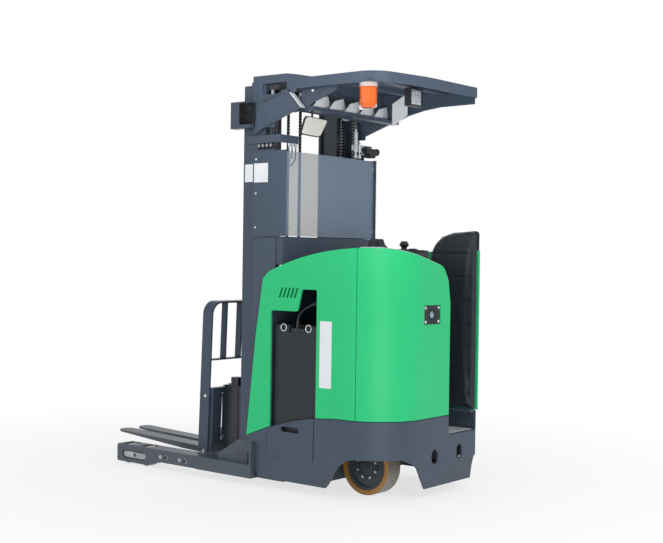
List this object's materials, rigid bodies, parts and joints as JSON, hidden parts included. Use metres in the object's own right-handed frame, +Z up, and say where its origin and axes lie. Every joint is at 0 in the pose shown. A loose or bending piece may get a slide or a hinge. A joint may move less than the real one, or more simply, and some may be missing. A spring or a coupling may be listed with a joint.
{
  "type": "stand-up reach truck",
  "caption": "Electric stand-up reach truck with a triple mast, pantograph reach, tilting forks, overhead guard and an operator's place at the rear.",
  "frame": {"origin": "on the floor, below the middle of the overall length and width", "axes": "+X towards the fork tips, +Y to the truck's left side, +Z up"},
  "size_m": [2.5796, 1, 2.448],
  "materials": {
    "amber": "tinted lens",
    "battery_case": "grey enamel",
    "black_plastic": "moulded",
    "caster_tread": "cast polyurethane",
    "chain_steel": "oiled roller chain",
    "clear_sheet": "clear polycarbonate",
    "dark_paint": "satin powder coat",
    "dark_steel": "oiled black steel",
    "green_paint": "gloss powder coat",
    "light_paint": "satin powder coat",
    "load_tread": "cast polyurethane",
    "louvre_steel": "bright sheet",
    "mat": "ribbed rubber",
    "mirror_glass": "convex mirror in a black rim",
    "pad": "vinyl cover over foam",
    "steel": "bright steel",
    "tyre": "cast polyurethane",
    "white_plate": "blank label stock"
  },
  "bodies": {
    "chassis": {"armrest": "pad", "backrest_pad": "pad", "base_frame": "light_paint", "battery": "battery_case", "battery_fittings": "black_plastic", "battery_gate": "dark_paint", "beacon": "amber", "blank_plates": "white_plate", "bright_fasteners": "steel", "cell_liner": "black_plastic", "control_handle": "black_plastic", "floor_mat": "mat", "guard_crossbar": "light_paint", "guard_louvres": "louvre_steel", "guard_roof": "light_paint", "head_boxes": "dark_paint", "head_brackets": "light_paint", "head_valve": "dark_steel", "lift_cylinders": "dark_steel", "lower_skirt": "dark_paint", "mast_covers": "light_paint", "mast_outer": "dark_paint", "mast_screen": "clear_sheet", "mirror": "mirror_glass", "pad_shell": "black_plastic", "pale_panel": "white_plate", "platform": "dark_paint", "rear_cover": "green_paint", "rear_lens": "black_plastic", "right_cover": "green_paint", "side_cover": "green_paint", "steering_column": "black_plastic", "top_hood": "black_plastic", "work_lamp": "dark_paint"},
    "mast_middle_stage": {"mast_middle": "dark_steel", "chain_pulleys": "steel", "lift_chains": "chain_steel", "lift_rods": "steel"},
    "mast_inner_stage": {"mast_inner": "dark_steel"},
    "lift_carriage_body": {"lift_carriage": "dark_steel"},
    "scissor_a": {"scissor_arms_a": "dark_steel"},
    "scissor_b": {"scissor_arms_b": "dark_steel"},
    "reach_body": {"reach_carriage": "dark_steel"},
    "fork_body": {"fork_carriage": "dark_paint", "load_backrest": "dark_paint", "forks": "dark_steel"},
    "steer_unit": {"drive_unit": "dark_steel"},
    "drive_wheel_body": {"drive_wheel": "dark_steel", "drive_tyre": "tyre"},
    "steering_disc": {"steering": "black_plastic"},
    "caster_swivel_body": {"caster_fork": "dark_steel"},
    "caster_wheel_body": {"caster_wheels": "caster_tread"},
    "rocker_left_body": {"rocker_left": "steel"},
    "rocker_right_body": {"rocker_right": "steel"},
    "load_wheel_left_front_body": {"load_wheel_left_front": "load_tread"},
    "load_wheel_left_rear_body": {"load_wheel_left_rear": "load_tread"},
    "load_wheel_right_front_body": {"load_wheel_right_front": "load_tread"},
    "load_wheel_right_rear_body": {"load_wheel_right_rear": "load_tread"}
  },
  "joints": [
    {"name": "middle_lift", "type": "slide", "parent": "chassis", "child": "mast_middle_stage", "axis": [0, 0, 1], "range_m": [0, 1.7]},
    {"name": "inner_lift", "type": "slide", "parent": "mast_middle_stage", "child": "mast_inner_stage", "axis": [0, 0, 1], "range_m": [0, 1.7]},
    {"name": "carriage_lift", "type": "slide", "parent": "mast_inner_stage", "child": "lift_carriage_body", "axis": [0, 0, 1], "range_m": [0, 1.6]},
    {"name": "reach_scissor", "type": "hinge", "parent": "lift_carriage_body", "child": "scissor_a", "pos_m": [-0.014, 0, 0.185], "axis": [0, 1, 0], "range_deg": [0, 57.5]},
    {"name": "scissor_cross", "type": "hinge", "parent": "scissor_a", "child": "scissor_b", "pos_m": [0.02388, 0, 0.35585], "axis": [0, 1, 0], "range_deg": [-115, 0]},
    {"name": "scissor_foot", "type": "hinge", "parent": "scissor_b", "child": "reach_body", "pos_m": [0.06175, 0, 0.185], "axis": [0, 1, 0], "range_deg": [0, 57.5]},
    {"name": "fork_tilt", "type": "hinge", "parent": "reach_body", "child": "fork_body", "pos_m": [0.13775, 0, 0.19], "axis": [0, 1, 0], "range_deg": [-2, 5]},
    {"name": "drive_steer", "type": "hinge", "parent": "chassis", "child": "steer_unit", "pos_m": [-0.97, 0.18, 0.3], "axis": [0, 0, 1], "range_deg": [-90, 90]},
    {"name": "drive_spin", "type": "hinge", "parent": "steer_unit", "child": "drive_wheel_body", "pos_m": [-0.97, 0.18, 0.165], "axis": [0, 1, 0], "continuous": true},
    {"name": "steering_turn", "type": "hinge", "parent": "chassis", "child": "steering_disc", "pos_m": [-1.156, 0.06, 1.44], "axis": [0, 0, 1], "range_deg": [-360, 360]},
    {"name": "caster_swivel", "type": "hinge", "parent": "chassis", "child": "caster_swivel_body", "pos_m": [-1.05, -0.318, 0.18], "axis": [0, 0, 1], "continuous": true},
    {"name": "caster_roll", "type": "hinge", "parent": "caster_swivel_body", "child": "caster_wheel_body", "pos_m": [-1.088, -0.318, 0.075], "axis": [0, 1, 0], "continuous": true},
    {"name": "rocker_left_pivot", "type": "hinge", "parent": "chassis", "child": "rocker_left_body", "pos_m": [0.727, 0.43, 0.062], "axis": [0, 1, 0], "range_deg": [-3, 3]},
    {"name": "load_wheel_left_front_spin", "type": "hinge", "parent": "rocker_left_body", "child": "load_wheel_left_front_body", "pos_m": [0.8125, 0.43, 0.062], "axis": [0, 1, 0], "continuous": true},
    {"name": "load_wheel_left_rear_spin", "type": "hinge", "parent": "rocker_left_body", "child": "load_wheel_left_rear_body", "pos_m": [0.6415, 0.43, 0.062], "axis": [0, 1, 0], "continuous": true},
    {"name": "rocker_right_pivot", "type": "hinge", "parent": "chassis", "child": "rocker_right_body", "pos_m": [0.727, -0.43, 0.062], "axis": [0, 1, 0], "range_deg": [-3, 3]},
    {"name": "load_wheel_right_front_spin", "type": "hinge", "parent": "rocker_right_body", "child": "load_wheel_right_front_body", "pos_m": [0.8125, -0.43, 0.062], "axis": [0, 1, 0], "continuous": true},
    {"name": "load_wheel_right_rear_spin", "type": "hinge", "parent": "rocker_right_body", "child": "load_wheel_right_rear_body", "pos_m": [0.6415, -0.43, 0.062], "axis": [0, 1, 0], "continuous": true}
  ],
  "couplings": [
    {"joint": "inner_lift", "follows": "middle_lift", "ratio": 1},
    {"joint": "scissor_cross", "follows": "reach_scissor", "ratio": -2},
    {"joint": "scissor_foot", "follows": "reach_scissor", "ratio": 1},
    {"joint": "steering_turn", "follows": "drive_steer", "ratio": 4}
  ]
}
